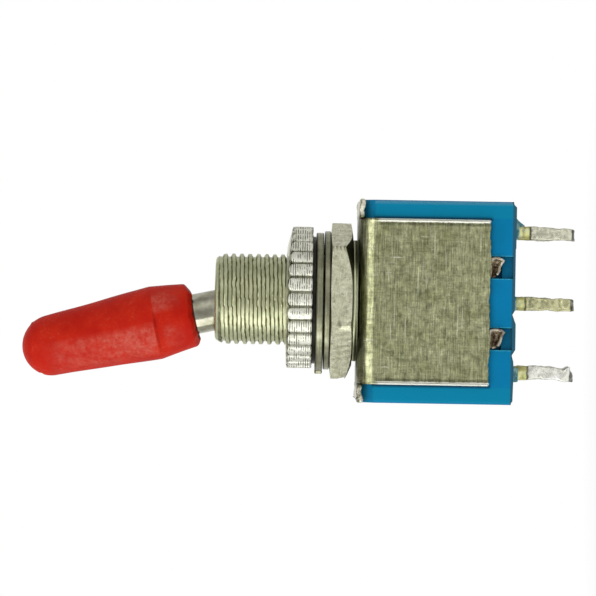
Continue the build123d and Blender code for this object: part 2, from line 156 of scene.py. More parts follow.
def grid_faces(rows, columns, start=0, ring=False, open_rows=False):
    """Faces between rows of points. A row closes on itself unless it's open, and so do the rows of a ring."""
    faces = []
    for i in range(rows if ring else rows - 1):
        a, b = start + i * columns, start + (i + 1) % rows * columns
        for j in range(columns - 1 if open_rows else columns):
            k = (j + 1) % columns
            faces.append((a + j, a + k, b + k, b + j))
    return faces


def turned(profile, columns, shape=None, ring=False):
    """Points and faces of a profile of (radius, height) turned about Z, with an optional change of shape."""
    radius, height = np.array(profile, float).T[:, :, None]
    radius, height, turn = np.broadcast_arrays(radius, height, np.arange(columns) * 2 * pi / columns)
    if shape:
        radius, height = shape(radius, height, turn)
    points = np.stack([radius * np.cos(turn), radius * np.sin(turn), height], -1)
    return points.reshape(-1, 3), grid_faces(len(profile), columns, ring=ring)


def eased(corners, sizes, steps=4):
    """A profile whose corners are rounded off, each by its own size."""
    made = []
    for i, (corner, size) in enumerate(zip(corners, sizes)):
        here = Vector(corner)
        if size <= 0:
            made.append(tuple(here))
            continue
        before = (Vector(corners[i - 1]) - here).normalized() * size
        after = (Vector(corners[(i + 1) % len(corners)]) - here).normalized() * size
        for k in range(steps + 1):
            t = k / steps
            made.append(tuple(here + before * (1 - t) ** 2 + after * t**2))
    return made


def dense(profile, gap):
    """The same profile with more points on its long runs."""
    made = [profile[0]]
    for a, b in zip(profile, profile[1:]):
        parts = max(1, round((Vector(b) - Vector(a)).length / gap))
        made += [tuple(Vector(a).lerp(Vector(b), k / parts)) for k in range(1, parts + 1)]
    return made


def split(marks, gap):
    """The marks, and points between them that are no further apart than the gap."""
    made = [marks[0]]
    for a, b in zip(marks, marks[1:]):
        parts = max(1, int(np.ceil((b - a) / gap - 1e-6)))
        made += [a + (b - a) * k / parts for k in range(1, parts + 1)]
    return made


def soften(piece, width, angle=30, segments=2, clamp=True):
    """Eases the sharp edges of a piece."""
    bevel = piece.modifiers.new("eased", "BEVEL")
    bevel.width, bevel.segments = width * MM, segments
    bevel.limit_method, bevel.angle_limit = "ANGLE", radians(angle)
    bevel.use_clamp_overlap, bevel.harden_normals = clamp, True


def thicken(piece, thickness, even=False):
    """Gives a middle surface its sheet's thickness."""
    solid = piece.modifiers.new("sheet", "SOLIDIFY")
    solid.thickness, solid.offset, solid.use_even_offset = thickness * MM, 0, even


# ------------------------------------------------------------ material helpers


class Graph:
    """Shader nodes joined by calls. A value is a number, a colour, or another node's output."""

    def __init__(self, tree):
        self.tree = tree

    def put(self, value, socket):
        """Joins a socket to an output or sets it. A colour comes without its alpha."""
        if isinstance(value, bpy.types.NodeSocket):
            self.tree.links.new(value, socket)
        else:
            socket.default_value = (*value, 1) if socket.type == "RGBA" else value

    def node(self, kind, inputs=None, **settings):
        made = self.tree.nodes.new("ShaderNode" + kind)
        for key, value in settings.items():
            setattr(made, key, value)
        for key, value in (inputs or {}).items():
            self.put(value, made.inputs[key])
        return made

    def math(self, operation, *values):
        return self.node("Math", dict(enumerate(values)), operation=operation).outputs[0]

    def times(self, product, *others):
        for other in others:
            product = self.math("MULTIPLY", product, other)
        return product

    def most(self, highest, *others):
        for other in others:
            highest = self.math("MAXIMUM", highest, other)
        return highest

    def times_add(self, a, b, c):
        return self.math("MULTIPLY_ADD", a, b, c)

    def away(self, value, middle=0.0):
        """How far a value is from the middle, on either side."""
        return self.math("ABSOLUTE", self.math("SUBTRACT", value, middle))

    def remap(self, value, low, high, to_low=0.0, to_high=1.0):
        """Turns low to high into to_low to to_high, and stops at both."""
        inputs = {"Value": value, "From Min": low, "From Max": high, "To Min": to_low, "To Max": to_high}
        return self.node("MapRange", inputs).outputs["Result"]

    def band(self, value, low, high, soft):
        """1 between low and high, falling to 0 over the soft distance on both sides."""
        return self.times(self.remap(value, low - soft, low), self.remap(value, high + soft, high))

    def mix(self, share, a, b, blend="MIX"):
        return self.node("Mix", {0: share, 6: a, 7: b}, data_type="RGBA", blend_type=blend).outputs[2]

    def parts(self, vector):
        return self.node("SeparateXYZ", {0: vector}).outputs

    def camera_sees(self, path):
        return self.most(path.outputs["Is Camera Ray"], path.outputs["Is Transmission Ray"])


class Look(Graph):
    """A procedural material, built on the part's own coordinates in millimetres."""

    def __init__(self, name):
        self.material = bpy.data.materials.new(name)
        self.material.use_nodes = True
        super().__init__(self.material.node_tree)
        self.shader = self.tree.nodes["Principled BSDF"]
        self.place = self.millimetres((1, 1, 1))
        self.x, self.y, self.z = self.parts(self.place)
        self.tone = None

    def millimetres(self, stretch):
        inputs = {0: self.node("TexCoord").outputs["Object"], 1: tuple(s / MM for s in stretch)}
        return self.node("VectorMath", inputs, operation="MULTIPLY").outputs[0]

    def noise(self, scale, detail=3.0, rough=0.55):
        """Noise with about this many features a millimetre, or this many along each axis."""
        place = self.place
        if isinstance(scale, tuple):
            place, scale = self.millimetres(scale), 1.0
        inputs = {"Vector": place, "Scale": scale, "Detail": detail, "Roughness": rough}
        return self.node("TexNoise", inputs).outputs["Fac"]

    def facing(self, axis):
        """How far the surface faces along an axis, from -1 to 1."""
        return self.parts(self.node("TexCoord").outputs["Normal"])[axis]

    def from_axis(self, x=0.0):
        """Distance from an upright axis."""
        across = self.math("SUBTRACT", self.x, x)
        return self.math("SQRT", self.times_add(self.y, self.y, self.times(across, across)))

    def on_lever(self, direction):
        """Distance from the lever's pivot along a direction of the lever's own axes."""
        apart = self.node("VectorMath", {0: self.place, 1: pivot}, operation="SUBTRACT").outputs[0]
        along = lever_frame.to_3x3() @ Vector(direction)
        return self.node("VectorMath", {0: apart, 1: along}, operation="DOT_PRODUCT").outputs["Value"]

    def tones(self, value, low, high, dark, light):
        """The surface's first colour, from dark to light as the value goes from low to high."""
        self.tone = self.mix(self.remap(value, low, high), dark, light)

    def stain(self, share, colour):
        self.tone = self.mix(share, self.tone, colour)

    def gloss(self, mottle, at_low, at_high):
        """Roughness that goes with the mottling."""
        return self.remap(mottle, 0.3, 0.7, at_low, at_high)

    def done(self, rough, relief, depth, specular=None):
        """Joins colour, roughness and a bump this deep. It is a metal unless it has a specular level."""
        bump = self.node("Bump", {"Height": relief, "Distance": depth * MM, "Strength": 1.0}).outputs[0]
        last = ("Metallic", 1.0) if specular is None else ("Specular IOR Level", specular)
        for key, value in (("Base Color", self.tone), ("Roughness", rough), ("Normal", bump), last):
            self.put(value, self.shader.inputs[key])
        return self.material


# ------------------------------------------------------------------- materials


def red_vinyl():
    """Dipped vinyl: three patches of painted sheen in front, painted shade in a crease under its ridge, dirt
    and painted shade on its cut lip.
    """
    g = Look("red_vinyl")
    cloud = g.noise(0.55, 4.0, 0.6)
    fine = g.noise(5.0, 5.0, 0.7)
    blotch = g.noise(1.7, 3.0, 0.6)
    g.tones(cloud, 0.35, 0.65, (0.46, 0.008, 0.002), (0.55, 0.018, 0.004))
    off_axis, along = g.on_lever((1, 0, 0)), g.on_lever((0, 0, 1))
    # painted sheen: three pale patches on the front of the sleeve, where the lamps' sheen falls
    painted_sheen = 0.0
    for (low, high, soft), (rise, full), (still, gone), strength in (
        ((-1.85, -0.35, 0.45), (ridge, ridge + 0.10), (14.4, 15.4), 0.60),
        ((0.85, 1.60, 0.40), (5.7, 6.9), (ridge - 0.12, ridge - 0.04), 0.55),
        ((-1.50, -0.70, 0.55), (5.8, 6.9), (ridge - 0.8, ridge - 0.3), 0.36),
    ):
        ends = g.times(g.remap(along, rise, full), g.remap(along, gone, still))
        painted_sheen = g.most(painted_sheen, g.times(ends, g.band(off_axis, low, high, soft), strength))
    front = g.remap(g.y, 0.5, -0.5)
    uneven = g.times(g.remap(fine, 0.36, 0.64, 0.35, 1.1), g.remap(blotch, 0.34, 0.62, 0.25, 1.1))
    painted_sheen = g.times(painted_sheen, front, uneven, g.remap(along, 10.0, 15.0, 1.0, 0.45))
    worn = g.times(g.remap(fine, 0.52, 0.72), g.remap(cloud, 0.44, 0.62, 0.0, 0.25))
    # the pale colour is the painted sheen, and wear where the fine noise is high
    g.stain(g.most(painted_sheen, worn), (0.60, 0.15, 0.11))
    # painted shade in the crease just under the ridge
    crease = g.times(g.band(along, ridge - 0.14, ridge - 0.02, 0.06), g.remap(blotch, 0.4, 0.6, 0.2, 0.6))
    g.stain(g.times(crease, g.band(off_axis, -1.6, 0.3, 0.5)), (0.22, 0.004, 0.002))
    # dirt and painted shade on the cut lip, next to the shaft
    from_shaft = g.times_add(g.y, g.y, g.times(off_axis, off_axis))  # squared
    low_end = g.remap(along, sleeve_start + 0.58, sleeve_start + 0.38, 0.0, 0.85)
    g.stain(g.times(g.remap(from_shaft, 1.78**2, 1.66**2), low_end), (0.05, 0.006, 0.004))
    return g.done(g.gloss(cloud, 0.42, 0.6), fine, 0.014, 0.09)


def blue_plastic():
    """Moulded plastic: a painted highlight on one edge, painted shade in its pockets with painted highlights
    on their edges, a painted shadow by the bracket and painted shade on its lower rim.
    """
    g = Look("blue_plastic")
    cloud = g.noise(0.35, 3.0)
    fine = g.noise(7.0, 4.0, 0.7)
    side, front = g.away(g.x), g.away(g.y)
    on_face = g.remap(front, half_y - 0.12, half_y - 0.04)
    g.tones(cloud, 0.35, 0.65, (0.0006, 0.180, 0.365), (0.0009, 0.200, 0.425))
    # painted highlight along the +X edge of the front and back faces
    edge = g.remap(g.x, half_x - 0.30, half_x - 0.14)
    g.stain(g.times(edge, on_face, g.remap(fine, 0.35, 0.6, 0.4, 0.9)), (0.42, 0.56, 0.58))
    outside = g.times(g.remap(side, leg_half + 0.04, leg_half + 0.16, 0.0, 0.8), on_face)
    g.stain(outside, (0.0016, 0.222, 0.372))

    off_tab = g.away(side, stake_x)
    down = g.band(g.z, ledge_foot, pocket_top, 0.05)
    # painted shade inside the pockets, then painted highlights on their edges
    pocket_shade = g.remap(front, half_y - 0.06, half_y - 0.14)
    pocket_shade = g.times(pocket_shade, g.remap(off_tab, pocket_half + 0.08, pocket_half + 0.02), down)
    g.stain(g.times(pocket_shade, g.remap(fine, 0.35, 0.62, 0.95, 0.55)), (0.002, 0.098, 0.180))
    lit = g.times(g.band(off_tab, pocket_half - 0.01, pocket_half + 0.05, 0.03), on_face, down)
    g.stain(g.times(lit, g.remap(fine, 0.40, 0.60, 0.15, 0.8)), (0.06, 0.42, 0.55))

    # painted shade on the lower rim, where the case's edge curves away
    rim = g.remap(g.times_add(fine, 0.08, g.z), case_bottom + 0.30, case_bottom + 0.22, 0.0, 0.8)
    g.stain(rim, (0.030, 0.085, 0.110))
    # painted shadow on the case along the edges of the bracket's legs
    beside = g.remap(side, leg_half + 0.22, leg_half + 0.02)
    beside = g.times(beside, g.remap(side, leg_half - 0.10, leg_half - 0.02))
    beside = g.times(beside, g.remap(front, half_y - 0.18, half_y - 0.08))
    beside = g.times(beside, g.remap(g.z, leg_foot - 0.22, leg_foot - 0.02), 0.93)
    g.stain(beside, (0.004, 0.020, 0.035))
    smear = g.times(g.remap(g.z, case_high.z - 0.91, case_high.z - 0.11), g.remap(fine, 0.42, 0.58, 0.0, 0.7))
    g.stain(smear, (0.03, 0.16, 0.18))
    return g.done(g.gloss(cloud, 0.35, 0.5), fine, 0.006, 0.07)


def lug_metal(name, root_z, tip_z, middle, tin_tone, patchy):
    """Tinned brass: bare yellow root, painted shade in a groove where the tin begins, streaky tin, painted
    shade towards the lug's sides, a dull cut end.
    """
    g = Look(name)
    mottle = g.noise(3.0, 4.0, 0.65)
    streak = g.noise((4.5, 1.5, 0.9), 3.0, 0.6)
    height = g.times_add(g.noise(2.0), 0.22, g.z)
    bare = g.remap(height, root_z + 0.08, root_z + 0.14)
    tin = g.mix(g.remap(mottle, 0.34, 0.56), tuple(c * patchy for c in tin_tone), tin_tone)
    tin = g.mix(g.remap(streak, 0.50, 0.66, 0.0, 0.85), tin, tuple(min(1.0, c * 1.25) for c in tin_tone))
    # painted shade on the tin where it faces along X, on the lug's sides
    tin = g.mix(g.remap(g.away(g.facing("X")), 0.30, 0.75, 0.0, 0.6), tin, (0.20, 0.19, 0.12))
    gold = g.mix(g.remap(mottle, 0.35, 0.65), (0.97, 0.96, 0.38), (1.0, 0.99, 0.66))
    # painted shade on the bare root towards its sides
    gold = g.mix(g.remap(g.away(g.x, middle), 0.18, 0.34, 0.0, 0.7), gold, (0.36, 0.33, 0.10))
    g.tone = g.mix(bare, tin, gold)
    # painted shade of a groove, a dark line where the tin begins
    line = g.remap(height, root_z + 0.18, root_z + 0.11)
    line = g.times(line, g.remap(height, root_z - 0.02, root_z + 0.05), 0.75)
    g.stain(line, (0.10, 0.10, 0.03))
    dull = g.mix(g.remap(mottle, 0.42, 0.60), (0.045, 0.045, 0.038), (0.26, 0.26, 0.235))
    g.stain(g.remap(height, tip_z + 0.40, tip_z + 0.32, 0.0, 0.92), dull)
    rough = g.times_add(bare, 0.22, g.gloss(mottle, 0.42, 0.24))
    return g.done(rough, g.times(mottle, g.remap(bare, 0.0, 1.0, 1.0, 0.2)), 0.035)


def root_resin():
    """Cloudy resin round the lugs' roots."""
    g = Look("root_resin")
    cloud = g.noise(3.2, 4.0, 0.7)
    g.tones(cloud, 0.38, 0.62, (0.012, 0.170, 0.220), (0.42, 0.62, 0.58))
    return g.done(g.gloss(cloud, 0.3, 0.5), cloud, 0.03, 0.3)


def white_plastic():
    g = Look("white_plastic")
    cloud = g.noise(1.2)
    g.tones(cloud, 0.0, 1.0, (0.72, 0.70, 0.62), (0.80, 0.78, 0.71))
    return g.done(g.gloss(cloud, 0.3, 0.42), g.noise(12.0), 0.003, 0.5)


def plain_metal(name, dark, light, rough, grain, brushed=None, depth=0.003):
    """Plated or drawn metal: mottled tone, uneven gloss, faint dirt, and brushing if asked."""
    g = Look(name)
    mottle = g.noise(grain, 5.0)
    speck = g.noise(grain * 4.3, 3.0, 0.7)
    g.tones(mottle, 0.32, 0.68, dark, light)
    g.stain(g.remap(speck, 0.66, 0.76, 0.0, 0.75), (0.16, 0.15, 0.09))
    relief = g.times_add(speck, 0.5, mottle)
    if brushed:
        relief = g.times_add(g.noise(brushed, 4.0, 0.7), 1.6, relief)
    return g.done(g.gloss(mottle, *rough), relief, depth)


def thread_nickel():
    """Plated thread: dirt and painted shade on the flanks, which leave the crests brighter."""
    g = Look("thread_nickel")
    mottle = g.noise(1.5, 5.0)
    speck = g.noise(6.0, 3.0, 0.7)
    g.tones(mottle, 0.32, 0.68, (0.53, 0.55, 0.335), (0.72, 0.74, 0.50))
    # dirt and painted shade in a band on the thread's flanks
    flank = g.band(g.times_add(speck, 0.05, g.from_axis()), thread_r - 0.14, thread_r - 0.045, 0.035)
    dirt = g.times(flank, g.remap(mottle, 0.3, 0.6, 0.95, 0.6))
    g.stain(g.most(dirt, g.remap(speck, 0.66, 0.76, 0.0, 0.6)), (0.045, 0.045, 0.012))
    return g.done(g.gloss(mottle, 0.48, 0.36), mottle, 0.01)


def sheet_steel():
    """Plated sheet, brushed across the leg, scuffed, with painted shade on the plate, a painted highlight on
    its bend, bright ends, and along its rims a painted highlight with painted shade inside it.
    """
    g = Look("bracket_plate")
    mottle = g.noise(0.8, 5.0, 0.65)
    speck = g.noise(5.5, 4.0, 0.7)
    blotch = g.noise(2.3, 5.0, 0.75)
    lines = g.noise((0.7, 3.0, 13.0), 4.0, 0.7)
    cross = g.noise((13.0, 3.0, 0.9), 4.0, 0.7)
    g.tones(mottle, 0.3, 0.7, (0.26, 0.268, 0.135), (0.44, 0.45, 0.27))

    top = bracket_high.z
    side = g.away(g.x)
    rim = g.times_add(speck, 0.16, side)
    on_leg = g.remap(g.z, top - 1.06, top - 1.46)
    # painted shade darker towards the plate's top, along with the brushed grain
    shade = g.times(g.remap(g.z, top - 0.61, top - 0.11, 1.0, 0.4), g.remap(lines, 0.3, 0.7, 0.52, 1.48))
    shade = g.times(shade, g.remap(cross, 0.3, 0.7, 0.80, 1.20), g.remap(blotch, 0.34, 0.66, 0.62, 1.38))
    # painted highlight on the bend
    shade = g.times(shade, g.remap(g.band(g.z, top - 0.92, top - 0.64, 0.11), 0.0, 1.0, 1.0, 1.9))
    # painted shade in a band just inside the legs' rims
    shade_inside_rim = g.times(g.band(rim, leg_half - 0.30, leg_half - 0.20, 0.10), on_leg)
    shade = g.times(shade, g.remap(shade_inside_rim, 0.0, 1.0, 1.0, 0.5))
    g.tone = g.mix(1.0, g.tone, shade, "MULTIPLY")

    long_marks = g.remap(g.noise((0.22, 1.0, 7.0), 2.0, 0.5), 0.66, 0.71, 0.0, 0.6)
    short_marks = g.remap(g.noise((3.4, 1.0, 0.5), 3.0, 0.6), 0.67, 0.73, 0.0, 0.55)
    scuff = g.most(long_marks, short_marks)
    g.stain(scuff, (0.80, 0.80, 0.66))
    # painted highlight on the raised burr along the legs' rims
    g.stain(g.times(g.remap(rim, leg_half - 0.17, leg_half - 0.12), on_leg, 0.85), (1.0, 1.0, 0.92))
    ends = g.times(g.remap(side, leg_half + 0.10, leg_half + 0.35), g.remap(blotch, 0.36, 0.56, 0.15, 0.85))
    g.stain(ends, (0.86, 0.83, 0.68))
    g.stain(g.remap(speck, 0.64, 0.72, 0.0, 0.55), (0.18, 0.17, 0.09))
    relief = g.times_add(lines, 1.8, g.times_add(cross, 1.2, mottle))
    return g.done(g.gloss(mottle, 0.42, 0.28), g.times_add(scuff, -0.8, relief), 0.016)


def tab_steel():
    """Sheet punched into the case: brown in its hollow, a painted highlight on its curled rim."""
    g = Look("tab_steel")
    mottle = g.noise(3.5, 5.0, 0.7)
    out = g.times_add(mottle, -0.12, g.away(g.y))
    bright = g.mix(g.remap(mottle, 0.3, 0.7), (0.50, 0.48, 0.36), (0.78, 0.76, 0.68))
    g.tones(mottle, 0.42, 0.58, (0.10, 0.055, 0.035), (0.50, 0.44, 0.33))
    # painted highlight where the curled rim stands out of the case, broken up by noise
    worn = g.remap(g.noise(1.6), 0.38, 0.58, 0.25, 1.0)
    g.stain(g.times(g.remap(out, half_y + 0.04, half_y + 0.26), worn), bright)
    return g.done(g.gloss(mottle, 0.5, 0.25), mottle, 0.04)


def nut_nickel():
    """Plated hexagon nut: patchy plating, dirt specks and rings, and painted shade on what faces the case."""
    g = Look("hex_nickel")
    mottle = g.noise(2.4, 5.0, 0.75)
    speck = g.noise(4.5, 4.0, 0.75)
    rings = g.noise((0.9, 0.9, 15.0), 3.0, 0.6)
    g.tones(mottle, 0.32, 0.68, (0.46, 0.46, 0.31), (0.92, 0.92, 0.70))
    # painted shade on faces turned down towards the case
    under = g.remap(g.times_add(speck, 0.2, g.facing("Z")), -0.05, -0.35, 0.0, 0.9)
    dirt = g.most(under, g.remap(speck, 0.57, 0.70, 0.0, 0.6), g.remap(rings, 0.58, 0.72, 0.0, 0.45))
    g.stain(dirt, (0.075, 0.075, 0.035))
    return g.done(g.gloss(mottle, 0.40, 0.24), g.times_add(speck, 0.8, g.math("ADD", mottle, rings)), 0.03)


def knurl_nickel():
    """Knurled rim: bright crests, painted shade in the grooves, broken dark lines across the ribs, a painted
    black shadow in the gap under them.
    """
    g = Look("knurl_nickel")
    mottle = g.noise(1.1, 5.0, 0.7)
    speck = g.noise(5.0, 4.0, 0.75)
    g.tones(mottle, 0.32, 0.68, (0.76, 0.76, 0.65), (0.97, 0.97, 0.87))
    radius = g.times_add(speck, 0.05, g.from_axis(knurl_shift))
    # painted shade in the grooves between the ribs
    groove = g.remap(radius, knurl_r - 0.06, knurl_r - 0.19, 0.0, 0.68)
    groove = g.times(groove, g.remap(radius, knurl_r - 0.5, knurl_r - 0.35))
    wave = g.math("SINE", g.times_add(mottle, 3.0, g.times(g.z, 2 * pi / 0.15)))
    stroke = g.times(g.remap(wave, 0.1, 0.7), g.remap(g.noise(2.6, 2.0), 0.43, 0.54, 0.0, 0.92))
    stroke = g.times(stroke, g.remap(radius, knurl_r - 0.3, knurl_r - 0.2))
    g.stain(g.most(groove, stroke), (0.12, 0.12, 0.06))
    # painted black shadow in the gap under the ribs
    g.stain(g.remap(g.z, rib_foot + 0.03, rib_foot - 0.03, 0.0, 0.95), (0.012, 0.012, 0.008))
    return g.done(g.gloss(mottle, 0.50, 0.32), speck, 0.03)


def washer_steel():
    """Dull plated washers, with dirt lines and painted shade in bands at their faces."""
    g = Look("washer_steel")
    mottle = g.noise(1.4, 5.0, 0.7)
    lines = g.noise((0.6, 0.6, 14.0), 3.0, 0.7)
    g.tones(mottle, 0.32, 0.68, (0.26, 0.26, 0.16), (0.46, 0.46, 0.33))
    dirt = g.remap(lines, 0.52, 0.68, 0.0, 0.6)
    height = g.times_add(lines, 0.06, g.math("SUBTRACT", g.z, 0.03))
    # painted shade in bands at the top, the middle and the bottom of the washers' stack
    for low, high in ((-0.08, 0.5), (-0.60, -0.45), (-1.2, -0.89)):
        dirt = g.most(dirt, g.times(g.band(height, low, high, 0.04), 0.85))
    g.stain(dirt, (0.04, 0.04, 0.02))
    return g.done(g.gloss(mottle, 0.42, 0.26), g.math("ADD", mottle, lines), 0.012)


bright = plain_metal("bright_nickel", (0.38, 0.37, 0.26), (0.66, 0.65, 0.54), (0.18, 0.09), 1.6, (2, 2, 14))
steel = plain_metal("drawn_steel", (0.42, 0.42, 0.40), (0.55, 0.55, 0.53), (0.35, 0.2), 2.0, (1, 1, 8))
silver = plain_metal("contact_silver", (0.66, 0.65, 0.61), (0.82, 0.81, 0.77), (0.35, 0.2), 2.4, None, 0.004)
brass = plain_metal(
    "contact_brass", (0.52, 0.38, 0.13), (0.66, 0.50, 0.20), (0.38, 0.22), 1.5, (9, 1, 1), 0.004
)
washer_metal = washer_steel()
resin = root_resin()


# --------------------------------------------------------------------- bushing

bush_low, bush_high = box_mm("bushing")
hex_low, hex_high = box_mm("hex_nut")
flange_r, spigot_r, swage_r = bush_high.x, 2.85, 3.2
flange_top, plate_top, case_top = hex_low.z - 0.02, bracket_high.z, case_high.z
plain_foot = flange_top + 0.25  # of the barrel, without a thread
mouth_r, slope_foot = 2.70, bush_high.z - 0.65  # the barrel's end is worn to a slope outside
seat_r, neck_r = 1.98, 1.68  # the ball's seat, and the neck over it
foot_bore_r, foot_bore_top, bore_mouth_r = 2.53, -0.854, 2.24
keyway_half, keyway_r = 0.48, 2.43


def threaded(radius, height, turn):
    """Cuts a helical thread into the barrel, a little uneven, running out towards the mouth."""
    waver = 0.02 * np.sin(5 * turn + 2.2 * height) + 0.018 * np.sin(13 * turn - 3.1 * height)
    phase = (height / pitch - turn / (2 * pi) + waver + 0.012 * np.sin(27 * turn)) % 1
    wave = 0.5 + 0.5 * np.cos(2 * pi * phase)
    worn = 0.018 * np.sin(9 * turn + 4.0 * height) * wave
    groove = thread_depth * (1 - np.clip(wave * 2.2 - 0.6, 0, 1)) + np.abs(worn)
    on_barrel = (np.abs(radius - thread_r) < 0.002) & (height > plain_foot)
    radius = np.where(on_barrel, thread_r - groove, radius)
    rise = np.clip((height - slope_foot) / (bush_high.z - slope_foot), 0, 1)
    slope = thread_r - 0.02 - (thread_r - 0.02 - mouth_r) * rise**1.3
    slope = slope - 0.10 * np.clip((rise - 0.86) / 0.14, 0, 1) ** 2
    return np.where((height > slope_foot) & (radius > 2.5), np.minimum(radius, slope), radius), height


def bored(radius, height, turn):
    """The thread outside, and inside the two keyways for the ends of the lever's pin."""
    radius, height = threaded(radius, height, turn)
    beside = np.abs(radius * np.cos(turn))
    over = np.clip(height - pivot.z, 0, None)
    on_bore = (radius < seat_r + 0.01) & (height > foot_bore_top - 0.01)
    in_keyway = on_bore & (np.hypot(beside, over) < keyway_half)
    return np.where(in_keyway, keyway_r, radius), height


outline = [(bore_mouth_r, bush_high.z - 0.05), (bore_mouth_r + 0.05, bush_high.z)]
outline += [(thread_r, z) for z in np.arange(bush_high.z, flange_top, -pitch / 12)] + [(thread_r, flange_top)]
outline += eased([(flange_r, flange_top), (flange_r, plate_top)], [0.05, 0.05])
outline += [(spigot_r, plate_top), (spigot_r, case_top), (swage_r, case_top - 0.03), (spigot_r, bush_low.z)]
outline += [(foot_bore_r, bush_low.z), (foot_bore_r, foot_bore_top), (seat_r, foot_bore_top), (seat_r, 1.0)]
seat = np.linspace(0, np.arccos(neck_r / seat_r), 8)
outline += [(seat_r * cos(a), pivot.z + seat_r * sin(a)) for a in seat]
made = turned(outline, 192, bored, ring=True)
make_piece("bushing_threaded", made, "body", thread_nickel(), ["bushing"])

# ------------------------------------------- lever, in its own axes from the pivot

ball_r, shaft_r, tail_r, bore_r = 1.95, 1.33, 1.05, 0.72
tail_end, bore_top, lever_end = -9.0, -3.4, 15.9
outline = [(0, bore_top), (bore_r, bore_top), (bore_r, tail_end)]
outline += [(tail_r - 0.06, tail_end), (tail_r, tail_end + 0.06)]
ball_ends = (-np.arccos(tail_r / ball_r), np.arccos(shaft_r / ball_r))
outline += [(ball_r * cos(a), ball_r * sin(a)) for a in np.linspace(*ball_ends, 22)]
outline += [(shaft_r, lever_end), (0, lever_end)]
make_piece("lever_turned", turned(outline, 72), "lever", bright, ["lever"], lever_frame)

# Soft sleeve: hand-cut lip, crisp ridge, long taper, round end, pushed on a little askew
sleeve_bore_end, dome_start, dome_r, askew = 15.92, 14.78, 2.0, 0.021


def on_skin(radius):
    """0 in the sleeve's bore and 1 on its skin."""
    return np.clip((radius - 1.4) / 0.4, 0, 1)


def soft(radius, height, turn):
    """A hand-cut lip and the small unevenness of dipped vinyl."""
    near_lip = np.clip((6.6 - height) / 1.4, 0, 1) ** 2
    lip = 0.07 * np.sin(3 * turn + 0.9) + 0.05 * np.sin(5 * turn + 2.1)
    lip += 0.035 * np.sin(11 * turn) + 0.02 * np.sin(19 * turn)
    ripple = 0.012 * np.sin(2 * turn + height * 0.9) + 0.008 * np.sin(5 * turn - height * 1.7)
    return radius + ripple * on_skin(radius), height + lip * near_lip * on_skin(radius)


corners = [(shaft_r + 0.02, sleeve_bore_end), (shaft_r + 0.02, sleeve_start), (1.62, sleeve_start)]
corners += [(2.12, sleeve_start + 0.28), (2.43, ridge), (dome_r, dome_start)]
outline = [(0, sleeve_bore_end)] + dense(eased(corners, [0, 0.02, 0.12, 0.16, 0.07, 0], 7), 0.35)
outline += [(dome_r * cos(a), dome_start + dome_r * sin(a)) for a in np.linspace(0, pi / 2, 18)[1:]]
points, faces = turned(outline, 96, soft)
leaning = np.where(points[:, 2] > sleeve_bore_end + 0.03, 1, on_skin(np.hypot(points[:, 0], points[:, 1])))
points[:, 0] -= askew * leaning * np.clip(points[:, 2] - sleeve_start, 0, None)
make_piece("lever_sleeve", (points, faces), "lever", red_vinyl(), ["lever_cap"], lever_frame)

# ---------------------------------------------------------------- knurled nut

rib_count, boss_r = 30, 4.2


def knurled(radius, height, turn):
    """Crowned ribs with turned lines across them, under a mouth side that slopes more on one side."""
    place = ((turn + pi / 2) * rib_count / (2 * pi) + 0.45 + 0.04 * np.sin(7 * turn)) % 1
    edge = np.abs(2 * place - 1)  # 0 on a rib's crest, 1 in a groove
    groove = 0.09 * edge**2 + 0.15 * np.clip((edge - 0.72) / 0.28, 0, 1) ** 1.2
    strength = 0.6 + 0.4 * np.sin(5 * turn + 1.0) * np.sin(3 * turn)
    lines = 0.032 * strength * (0.5 - 0.5 * np.cos(2 * pi * height / 0.135 + 0.6 * np.sin(turn * 17)))
    dents = 0.02 * np.clip(np.sin(13 * turn + 5 * height) * np.sin(29 * turn - 7 * height), 0, 1)
    drop = 0.25 + 0.32 * np.clip(np.cos(turn), 0, 1) ** 2 - 0.16 * (1 - edge**2)
    reach = np.clip((np.minimum(radius, knurl_r) - nut_bore) / (knurl_r - nut_bore), 0, 1)
    top = knurl_high.z - drop * reach**1.7
    foot = rib_foot - 0.05 * (1 - edge**2)
    share = (height - rib_foot) / (knurl_high.z - rib_foot)
    on_rim = radius > knurl_r - 0.001
    height = np.where(on_rim, foot + (top - foot) * share, height)
    height = np.where((share > 0.999) & ~on_rim, top, height)
    round_off = 0.10 * np.clip((share - 0.9) / 0.1, 0, 1) ** 2
    round_off += 0.06 * np.clip((0.07 - share) / 0.07, 0, 1) ** 2
    cut = np.where(on_rim, groove + lines + dents + round_off, 0)
    off_centre = np.where(radius > 4.5, 1 + knurl_shift * np.cos(turn) / knurl_r, 1.0)
    return (radius - cut) * off_centre, height


outline = [(nut_bore, knurl_high.z - 0.03)]
outline += [(r, knurl_high.z) for r in np.linspace(nut_bore + 0.04, knurl_r - 0.04, 12)]
outline += [(knurl_r, z) for z in np.linspace(knurl_high.z, rib_foot, 74)]
outline += [(boss_r + 0.1, rib_foot), (boss_r, rib_foot - 0.05)]
outline += [(boss_r, knurl_low.z), (nut_bore, knurl_low.z)]
made = turned(outline, 600, knurled, ring=True)
make_piece("knurled_nut_cut", made, "knurled_nut", knurl_nickel(), ["knurled_nut"])

# --------------------------------------------------------------------- washers

washer_r = 4.6


def tabbed(radius, height, turn):
    """The stub of the locating tab, towards -X."""
    tab = (np.abs(turn - pi) * washer_r < 0.62) & (radius > 4)
    return np.where(tab, radius + 0.14, radius), height


def toothed(radius, height, turn):
    """Twelve inner teeth."""
    tooth = np.abs((turn * 12 / (2 * pi) + 0.5) % 1 - 0.5) < 0.24
    return np.where((radius < 3.9) & tooth, radius - 0.62, radius), height


